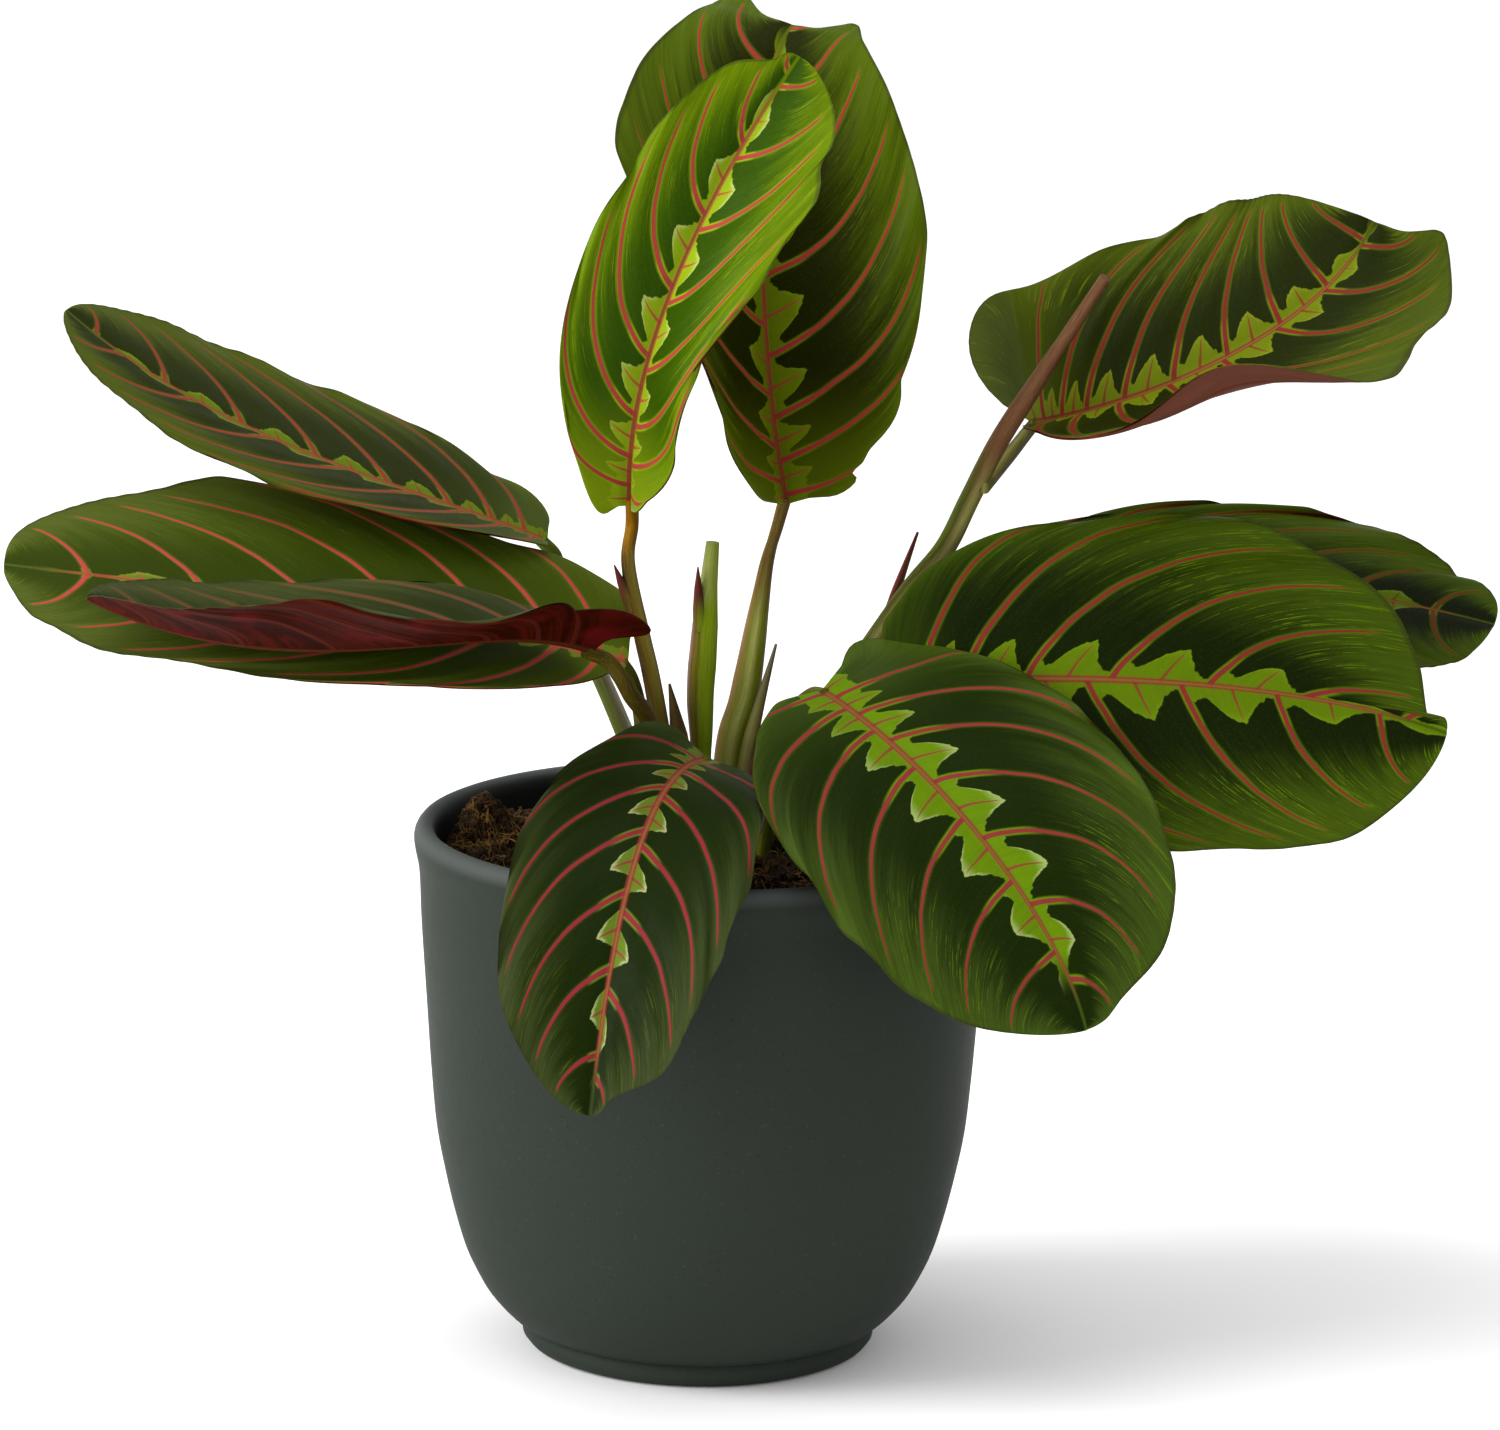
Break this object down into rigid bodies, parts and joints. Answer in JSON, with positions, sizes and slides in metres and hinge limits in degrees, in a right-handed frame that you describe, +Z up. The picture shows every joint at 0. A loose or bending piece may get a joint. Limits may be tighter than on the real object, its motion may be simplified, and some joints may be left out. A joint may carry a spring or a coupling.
{
  "type": "potted prayer plant maranta",
  "caption": "Prayer plant with oval, red-veined and lime-blotched leaves on arching stalks, with a cut stump and young shoots, in peaty soil in a round satin-glazed cover pot.",
  "frame": {"origin": "centre of the flat foot of the pot, on the surface that the pot stands on", "axes": "+Z up along the axis of the pot; the plant faces -Y, as in the picture; +X to its right in the picture"},
  "size_m": [0.3317, 0.1598, 0.2957],
  "materials": {
    "pot": "satin",
    "soil": "matte",
    "leaf": "satin",
    "leaf_young": "satin",
    "stalk": "satin",
    "stalk_purple": "satin"
  },
  "bodies": {
    "root": {"pot": "pot", "soil": "soil", "leaf_back_top": "leaf", "leaf_front_top": "leaf_young", "leaf_upper_right": "leaf", "leaf_big_right": "leaf", "leaf_front_right": "leaf", "leaf_far_right": "leaf", "leaf_front_low": "leaf", "leaf_left_low": "leaf", "leaf_left_high": "leaf", "leaf_left_folded": "leaf", "stalk_back_top": "stalk_purple", "stalk_front_top": "stalk_purple", "stalk_upper_right": "stalk", "stalk_big_right": "stalk", "stalk_front_right": "stalk", "stalk_far_right": "stalk", "stalk_front_low": "stalk", "stalk_left_low": "stalk", "stalk_left_high": "stalk", "stalk_left_folded": "stalk_purple", "stump": "stalk", "sheath_right": "stalk", "sheath_left": "stalk_purple", "sheath_small": "stalk_purple", "spear": "stalk_purple"}
  },
  "joints": []
}
